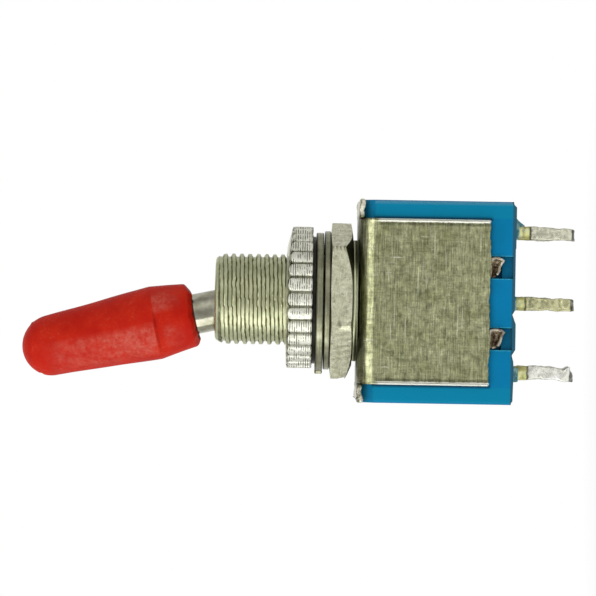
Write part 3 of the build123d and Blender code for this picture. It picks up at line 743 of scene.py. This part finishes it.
def washer(node, inner, outer, shape, x=0.0):
    """A flat ring with eased rims."""
    low, high = box_mm(node)
    corners = [(inner, low.z), (outer, low.z), (outer, high.z), (inner, high.z)]
    made = turned(eased(corners, [0.04, 0.09, 0.09, 0.04], 3), 240, shape, ring=True)
    place = Matrix.Translation((x, 0, 0))
    make_piece(node + "_ring", made, "body", washer_metal, [node], place)


washer("panel_washer", 3.2, washer_r, tabbed, box_mm("panel_washer")[1].x - washer_r)
washer("tooth_washer", 3.75, box_mm("tooth_washer")[1].x, toothed)

# ----------------------------------------- hexagon nut, chamfered towards the case

across_flats, hex_turn, hex_end_r = 9.1, radians(11.6), 4.3
corner_r = across_flats / sqrt(3)
top_slope_r, top_slope = 4.45, 0.10  # the upper face falls away from this radius


def hex_nut_mesh(columns):
    """Rows round the nut: the corners are cut back by different amounts, and two are bruised."""
    turn = np.arange(columns) * 2 * pi / columns + hex_turn
    side = across_flats / 2 / np.cos((turn - hex_turn) % (pi / 3) - pi / 6)

    def near(degrees, wide):
        away = (np.degrees(turn) - degrees + 180) % 360 - 180
        return np.exp(-((away / wide) ** 2))

    def sloped(radius):
        return hex_high.z - np.clip(radius - top_slope_r, 0, None) * top_slope

    def chamfer(radius):
        return rise * np.clip((radius - hex_end_r) / (corner_r - hex_end_r), 0, 1)

    rise = 0.12 + 0.42 * near(-48.4, 28) + 0.30 * near(-168.4, 26)
    rise += 0.30 * near(71.6, 26) + 0.35 * near(131.6, 30)
    rows = [(nut_bore, hex_high.z - 0.05), (nut_bore + 0.06, hex_high.z), (3.9, hex_high.z)]
    for t in (0, 0.5, 1):
        radius = top_slope_r + (side - top_slope_r) * t
        rows.append((radius, sloped(radius)))
    above, below = sloped(side), hex_low.z + chamfer(side)
    for t in np.linspace(0.03, 0.97, 15):
        bruise = 0.17 * near(-107, 3.2) * np.clip((t - 0.25) / 0.3, 0, 1)
        bruise += 0.05 * near(-48.4, 2.5) * (0.5 + 0.5 * np.sin(t * 21))
        bruise += 0.09 * near(-168.4, 3.0) * np.clip((t - 0.5) / 0.4, 0, 1)
        ripple = 0.010 * np.sin(turn * 31 + t * 9) * np.sin(turn * 17 - t * 13)
        rows.append((side - bruise + ripple, above + (below - above) * t))
    for t in (1, 0.66, 0.33, 0):
        radius = hex_end_r + (side - hex_end_r) * t
        rows.append((radius - 0.12 * near(-107, 3.2) * t, hex_low.z + chamfer(radius)))
    rows += [(nut_bore + 0.06, hex_low.z), (nut_bore, hex_low.z + 0.05)]
    points = [np.stack([r * np.cos(turn), r * np.sin(turn), h + 0 * turn], -1) for r, h in rows]
    return np.concatenate(points), grid_faces(len(rows), columns, ring=True)


hex_nut = make_piece("hex_nut_cut", hex_nut_mesh(288), "hex_nut", nut_nickel(), ["hex_nut"])
soften(hex_nut, 0.03, 24)

# ------------------------------------------------------------------------ case

corner, top_cut = 0.25, 0.755  # its upright edges' radius, and the chamfer under the bracket's bends
hollow_x, hollow_y, hollow_floor = 5.6, 2.68, -11.03
pocket_depth, ledge_depth = 0.7, 0.28
foot_line = [  # its lower edge, nicked and chipped: x, and the height over case_bottom
    (-6.6, 0.25), (-6.35, 0.06), (-5.2, 0.03), (-4.2, 0.02), (-3.75, 0.05), (-3.42, 0.19),
    (-3.12, 0.0), (-3.0, -0.07), (-1.34, -0.07), (-0.74, 0.16), (-0.5, 0.02), (-0.3, 0.0),
    (3.5, 0.0), (3.6, -0.03), (6.25, -0.03), (6.3, 0.03), (6.6, 0.33),
]


def foot_z(x):
    return float(case_bottom + np.interp(x, *zip(*foot_line)))


def case_mesh():
    """A closed skin round the case, open above into its hollow, with the pockets for the stakes."""
    turn = np.linspace(0, pi / 2, 5)
    arc = [(half_x - corner * (1 - sin(a)), half_y - corner * (1 - cos(a))) for a in turn]
    breaks = [x for x, _ in foot_line[1:-1]]
    breaks += [s * stake_x + t * pocket_half for s in (-1, 1) for t in (-1, 1)]
    breaks = sorted(x for x in breaks if abs(x) < half_x - corner)
    line = [(-x, y) for x, y in reversed(arc)] + [(x, half_y) for x in breaks] + arc
    shares = np.linspace(-1, 1, 7)
    ring = [(x, -y) for x, y in line] + [(half_x, (half_y - corner) * f) for f in shares[1:-1]]
    ring += line[::-1] + [(-half_x, (half_y - corner) * -f) for f in shares[1:-1]]

    def row(z, x_limit=half_x, y_limit=half_y):
        return [(min(max(x, -x_limit), x_limit), min(max(y, -y_limit), y_limit), z) for x, y in ring]

    top = case_high.z
    rows = [row(z, hollow_x, hollow_y) for z in (hollow_floor, top)] + [row(top, half_x, half_y - top_cut)]
    rows += [row(z) for z in (top - top_cut, -6.0, -9.0, pocket_top, pocket_foot, ledge_foot)]
    rows.append([(x, y, foot_z(x)) for x, y in ring])
    points = [p for row in rows for p in row]

    def in_pocket(face):
        centre = sum((Vector(points[k]) for k in face), Vector()) / 4
        beside = abs(abs(centre.x) - stake_x) < pocket_half
        return beside and ledge_foot < centre.z < pocket_top and abs(centre.y) > half_y - 0.01

    faces = [f for f in grid_faces(len(rows), len(ring)) if not in_pocket(f)]
    faces.append(tuple(range(len(ring))))
    for a, b in zip(line, line[1:]):
        for f, g in zip(shares, shares[1:]):
            start = len(points)
            points += [(x, y * share, foot_z(x)) for (x, y), share in ((a, f), (b, f), (b, g), (a, g))]
            faces.append(tuple(range(start, start + 4)))
    for side in (-1, 1):
        for x in (-stake_x, stake_x):
            left, right = x - pocket_half, x + pocket_half
            deep = [(left, pocket_top), (right, pocket_top), (right, pocket_foot), (left, pocket_foot)]
            whole = deep[:3] + [(right, ledge_foot), (left, ledge_foot), deep[3]]
            for loop, near, far, floor in (
                (whole, 0, ledge_depth, (2, 3, 4, 5)),
                (deep, ledge_depth, pocket_depth, (0, 1, 2, 3)),
            ):
                start = len(points)
                points += [(u, side * (half_y - depth), z) for depth in (near, far) for u, z in loop]
                faces += grid_faces(2, len(loop), start)
                faces.append(tuple(start + len(loop) + k for k in floor))
    return points, faces


soften(make_piece("case_moulded", case_mesh(), "body", blue_plastic(), ["case"]), 0.045)

# --------------------------------------------------------------------- bracket

leg_y, plate_z = bracket_high.y - sheet / 2, bracket_high.z - sheet / 2  # of the sheet's middle surface
hole_r = 3.06  # under the bushing's flange


def bracket_mesh():
    """One folded sheet as a grid on its middle surface: two legs, the plate, and its ends over the case."""
    points, faces = [], []

    def patch(xs, line, bend=None):
        faces.extend(grid_faces(len(line), len(xs), len(points), open_rows=True))
        points.extend(bend(x, y, z) if bend else (x, y, z) for y, z in line for x in xs)

    rims = [s * leg_half - s * t for s in (-1, 1) for t in (0, 0.05, 0.11, 0.17, 0.23, 0.3)]
    xs = sorted(rims + split([0.35 - leg_half, leg_half - 0.35], 0.21))
    flat_y = leg_y - bend_r
    turn = np.linspace(0, pi / 2, 13)[1:]
    half = [(flat_y + bend_r * sin(a), plate_z - bend_r * (1 - cos(a))) for a in turn]
    leg = [(leg_y, -z) for z in split([bend_r - plate_z, -(leg_foot + 0.5), -leg_foot], 0.25)[1:]]
    flat = split([-flat_y, flat_y], 0.3)
    for side in (-1, 1):

        def worn(x, y, z):
            """A raised shearing burr runs along the rims, and the foot is uneven."""
            near_foot = np.clip((leg_foot + 0.6 - z) / 0.6, 0, 1) ** 2
            jag = 0.025 * sin(x * 2.9 + 1.3) + 0.022 * sin(x * 6.1 + 0.4) + 0.02 * sin(x * 13.7)
            jag -= 0.10 * np.exp(-(((abs(x) - stake_x - 0.1) / 0.6) ** 2))
            burr = np.clip((abs(x) - leg_half + 0.26) / 0.2, 0, 1) ** 1.5
            burr *= np.clip((plate_z - 0.5 - z) / 0.5, 0, 1) * (0.85 + 0.15 * sin(z * 5.3) * sin(z * 2.1))
            bow = 0.03 * (x / leg_half) ** 2
            return (x, y + side * (0.085 * burr - bow), z + jag * near_foot)

        patch(xs, [(side * y, z) for y, z in [(flat_y, plate_z)] + half + leg], worn)
    patch(xs, [(y, plate_z) for y in flat])
    ends = split([-half_y, -flat_y], 0.15) + flat[1:-1] + split([flat_y, half_y], 0.15)

    def sheared(x, y, z):
        """The plate's corner is rough and turned down a little."""
        edge = np.clip((abs(y) - 2.9) / 0.6, 0, 1) * np.clip((abs(x) - 5.5) / 0.5, 0, 1)
        end = np.clip((abs(x) - 6.2) / 0.4, 0, 1) ** 2 * (1 if x > 0 else 0.4)
        rough = 0.06 * sin(x * 9 + y * 4) + 0.05 * sin(x * 21 - y * 13) + 0.03 * sin(y * 31)
        return (x + 0.5 * rough * end * edge, y + rough * edge, z + (rough - 0.16 * end) * edge)

    for side in (-1, 1):
        wing = sorted(side * x for x in split([leg_half, half_x], 0.24))
        patch(wing, [(y, plate_z) for y in ends], sheared)

    def in_hole(face):
        centre = sum((Vector(points[k]) for k in face), Vector()) / 4
        return abs(centre.z - plate_z) <= 0.01 and centre.xy.length <= hole_r

    return points, [face for face in faces if not in_hole(face)]


def outwards(piece):
    """Turns every face of an open sheet the same way, outwards."""
    work = bmesh.new()
    work.from_mesh(piece.data)
    bmesh.ops.recalc_face_normals(work, faces=work.faces)
    if max(work.faces, key=lambda f: f.calc_center_median().z).normal.z < 0:
        bmesh.ops.reverse_faces(work, faces=work.faces)
    work.to_mesh(piece.data)
    work.free()


def tab_mesh(rows=15, columns=13):
    """Tabs punched into the case: cups with their rim curling back out, longer on the upper side."""
    points, faces = [], []
    for side in (-1, 1):
        for centre in (-stake_x, stake_x):
            faces += grid_faces(rows, columns, len(points), open_rows=True)
            for s in (i / (rows - 1) for i in range(rows)):
                for a in (2 * j / (columns - 1) - 1 for j in range(columns)):
                    length = (0.68 if centre > 0 else 0.82) + 0.24 * a
                    rim = max(a**3, 0.5 * abs(a) ** 5, np.clip((s - 0.45) / 0.55, 0, 1) ** 2.4)
                    depth = 0.46 * (1 - rim) * min(1, s / 0.4) - 0.05 * s
                    wide = tab_half * (1 + 0.12 * sin(pi * s) - 0.22 * s**3)
                    rough = turbulence.noise_vector(Vector((centre + 2 * a, 2.4 * s, side))) * 0.09 * s
                    flat = Vector((centre + a * wide, side * (leg_y - depth), leg_foot + 0.03 - length * s))
                    points.append(flat + rough)
    return points, faces


bracket = make_piece("bracket_folded", bracket_mesh(), "body", sheet_steel(), ["bracket"])
outwards(bracket)
thicken(bracket, sheet, even=True)
soften(bracket, 0.12, 50, 3, clamp=False)
tabs = make_piece("bracket_tabs", tab_mesh(), "body", tab_steel(), ["bracket"])
thicken(tabs, 0.2)
tabs.modifiers.new("smooth", "SUBSURF").render_levels = 1

# ------------------------------------------------------- lugs and their resin

whisker_x = -4.62  # on the left lug's tip, its side away from the middle


def remeshed(node):
    """A copy of a CAD node's mesh with its edges eased."""
    work = bpy.data.objects.new("work", frame["nodes"][node].data.copy())
    scene.collection.objects.link(work)
    remesh = work.modifiers.new("remesh", "REMESH")
    remesh.mode, remesh.voxel_size = "VOXEL", 0.07 * MM
    smooth = work.modifiers.new("smooth", "SMOOTH")
    smooth.factor, smooth.iterations = 0.5, 3
    bpy.context.view_layer.update()
    mesh = bpy.data.meshes.new_from_object(work.evaluated_get(bpy.context.evaluated_depsgraph_get()))
    bpy.data.objects.remove(work)
    return mesh


def tinned(p, seed, tip):
    """Lumps on the tin below the case, and at the tip of the first lug a drawn-out whisker."""
    below = np.clip((case_bottom - 0.1 - p.z) / 0.5, 0, 1)
    shift = Vector((seed, 0, 0))
    lump = turbulence.noise_vector(p * 1.3 + shift) * 0.09 + turbulence.noise_vector(p * 4.0 + shift) * 0.04
    if seed == 0 and p.x > whisker_x and p.y < 0:
        lump.x += 0.26 * np.exp(-(((p.z - tip - 0.42) / 0.16) ** 2))
        lump.z -= 0.14 * np.exp(-(((p.z - tip - 0.36) / 0.16) ** 2))
    return p + lump * float(below)


for index, (name, middle, bare, tin_tone, patchy, _) in enumerate(LUGS):
    node = "terminal_" + name
    tip = box_mm(node)[0].z
    mesh = remeshed(node)
    for vertex in mesh.vertices:
        vertex.co = tinned(vertex.co / MM, 9.0 * index, tip) * MM
    mesh.name = node + "_tinned"
    mesh.shade_smooth()
    material = lug_metal(node + "_metal", case_bottom - bare, tip, middle, tin_tone, patchy)
    ridden(node + "_tinned", mesh, "body", material, [node])

# Resin stands round the roots of the lugs, and a web of it against the outer one
for name, middle, *_, drop in LUGS:
    loops = ((0.49, 1.13, -0.12), (0.48, 1.1, drop * 0.7), (0.44, 1.05, drop))
    points = [
        (middle + u * half, v * wide, case_bottom - low)
        for half, wide, low in loops for u, v in ((-1, -1), (1, -1), (1, 1), (-1, 1))
    ]
    faces = grid_faces(3, 4) + [(0, 1, 2, 3), (8, 9, 10, 11)]
    soften(make_piece("root_seal_" + name, (points, faces), "body", resin), 0.05)
lug_side = box_mm("terminal_right")[1].x
outline = [(-0.16, 0.1), (0.84, 0.1), (0.70, -0.08), (0.34, -0.42), (0.05, -0.80), (-0.16, -0.72)]
points = [
    (lug_side + x, y * (1.0 if z > 0 else 0.85), case_bottom + z)
    for y in (-1.0, -0.4, 0.4, 1.0) for x, z in outline
]
faces = grid_faces(4, 6) + [tuple(range(6)), tuple(range(18, 24))]
soften(make_piece("root_web", (points, faces), "body", resin), 0.05)

# ---------------------------------------------------------------------- spring

wire_r, coil_r, coil_turns, wire_sides = 0.1, 0.57, 3, 10
on_axis = [(lever_frame.inverted() @ (v.co / MM)).z for v in frame["nodes"]["plunger_spring"].data.vertices]
spring_foot, spring_top = min(on_axis), max(on_axis)


def coil_mesh():
    """A round wire wound from the bore's end to the plunger's stem."""
    along = np.linspace(0, 1, 36 * coil_turns + 1)
    wound = 2 * pi * coil_turns * along
    height = spring_foot + wire_r + (spring_top - spring_foot - 2 * wire_r) * along
    outward = np.stack([np.cos(wound), np.sin(wound), 0 * wound], -1)
    line = coil_r * outward + height[:, None] * (0, 0, 1)
    run = np.gradient(line, axis=0)
    run /= np.linalg.norm(run, axis=1)[:, None]
    upward = np.cross(run, outward)
    turn = np.arange(wire_sides)[None, :, None] * 2 * pi / wire_sides
    points = line[:, None] + wire_r * (np.cos(turn) * outward[:, None] + np.sin(turn) * upward[:, None])
    last = (len(line) - 1) * wire_sides
    ends = [tuple(range(wire_sides)), tuple(range(last, last + wire_sides))]
    return points.reshape(-1, 3), grid_faces(len(line), wire_sides) + ends


spring = make_piece(
    "plunger_spring_coil", coil_mesh(), "lever", steel, ["plunger_spring"], lever_frame
)
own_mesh(spring)

# ------------------------------------ pieces inside, which keep their CAD shape

for material, names in (
    (silver, ("fixed_contact_left", "fixed_contact_right", "rocker_contact_left", "rocker_contact_right")),
    (brass, ("rocker",)),
    (white_plastic(), ("plunger",)),
    (steel, ("plunger_spring", "lever_pin")),
):
    for name in names:
        frame["nodes"][name].data.materials[0] = material


# ------------------------------------------------------- floor, light, camera


def plain_floor():
    """A pale disc under the part that keeps its shadow and pales into the background."""
    g = Look("pale_floor")
    g.put((0.86, 0.86, 0.85), g.shader.inputs["Base Color"])
    g.put(0.9, g.shader.inputs["Roughness"])
    path = g.node("LightPath")
    seen = g.most(g.camera_sees(path), path.outputs["Is Glossy Ray"])
    glow = g.node("Emission", {"Color": (1, 1, 1), "Strength": 1.0})
    share = g.times(seen, g.remap(g.from_axis(), 20.0, 60.0, 0.5, 1.0))
    both = g.node("MixShader", {0: share, 1: g.shader.outputs[0], 2: glow.outputs[0]})
    g.put(both.outputs[0], g.tree.nodes["Material Output"].inputs["Surface"])
    work = bmesh.new()
    bmesh.ops.create_circle(work, cap_ends=True, segments=96, radius=62 * MM)
    mesh = bpy.data.meshes.new("floor")
    work.to_mesh(mesh)
    work.free()
    mesh.materials.append(g.material)
    floor = bpy.data.objects.new("floor", mesh)
    floor.location.z = -24 * MM
    scene.collection.objects.link(floor)


# Surroundings as metal sees them, by the angle round the part from its front: grey before it, white behind
ROUND = (
    (-180, 1.0), (-150, 0.75), (-116, 0.50), (-89, 0.55), (-67, 0.55), (-47, 0.50), (-29, 0.46),
    (-11, 0.36), (6, 0.33), (23, 0.56), (41, 0.84), (60, 0.60), (82, 0.31), (106, 0.55), (144, 0.60),
    (165, 0.8), (180, 1.0),
)


def surroundings():
    """White for the camera, an even light for diffuse surfaces, and the ramp above for glossy ones."""
    world = bpy.data.worlds.new("studio")
    scene.world = world
    world.use_nodes = True
    world.node_tree.nodes.clear()
    g = Graph(world.node_tree)
    path = g.node("LightPath")
    x, y, z = g.parts(g.node("TexCoord").outputs["Generated"])
    angle = g.math("ARCTAN2", x, g.times(y, -1.0))
    ramp = g.node("ValToRGB", {0: g.remap(angle, -pi, pi)})
    stops = ramp.color_ramp.elements
    while len(stops) < len(ROUND):
        stops.new(0.5)
    for stop, (degrees, value) in zip(stops, ROUND):
        stop.position, stop.color = (degrees + 180) / 360, (value, value, value * 0.985, 1)
    around = g.mix(g.remap(g.away(z), 0.65, 0.97, 0.0, 0.6), ramp.outputs["Color"], (0.05, 0.05, 0.045))
    shade = g.mix(path.outputs["Is Glossy Ray"], (0.66, 0.66, 0.66), around)
    colour = g.mix(g.camera_sees(path), shade, (1.0, 1.0, 1.0))
    surface = g.node("Background", {"Color": colour, "Strength": 1.0})
    g.node("OutputWorld", {"Surface": surface.outputs[0]})


def frame_matrix(place, side, up, back):
    """A lamp's or camera's matrix from its place in millimetres and its own axes."""
    return Matrix.Translation(Vector(place) * MM) @ Matrix((side, up, back)).transposed().to_4x4()


def softbox(name, towards, distance, width, length, power):
    """A rectangular soft lamp, its length upright, that looks at the part."""
    data = bpy.data.lights.new(name, "AREA")
    data.shape, data.size, data.size_y, data.energy = "RECTANGLE", width * MM, length * MM, power
    lamp = bpy.data.objects.new(name, data)
    back = Vector(towards).normalized()
    side = Vector((0, 0, 1)).cross(back).normalized()
    lamp.matrix_world = frame_matrix(back * distance, side, back.cross(side), back)
    scene.collection.objects.link(lamp)


def photo_camera(place, lens, roll):
    """The camera in front, on its side as in the photo, where the lever points left."""
    data = bpy.data.cameras.new("camera")
    data.sensor_width, data.lens = 36, lens
    camera = bpy.data.objects.new("camera", data)
    scene.collection.objects.link(camera)
    right, up = Vector((sin(roll), 0, -cos(roll))), Vector((cos(roll), 0, sin(roll)))
    camera.matrix_world = frame_matrix(place, right, up, right.cross(up))
    scene.camera = camera


plain_floor()
surroundings()
softbox("key", (-0.85, -0.53, 0.08), 350, 300, 420, 0.52)
softbox("high", (-0.18, -0.79, 0.62), 350, 330, 210, 0.30)
photo_camera((0.12, -180, 1.159), 164.2, radians(1.0))
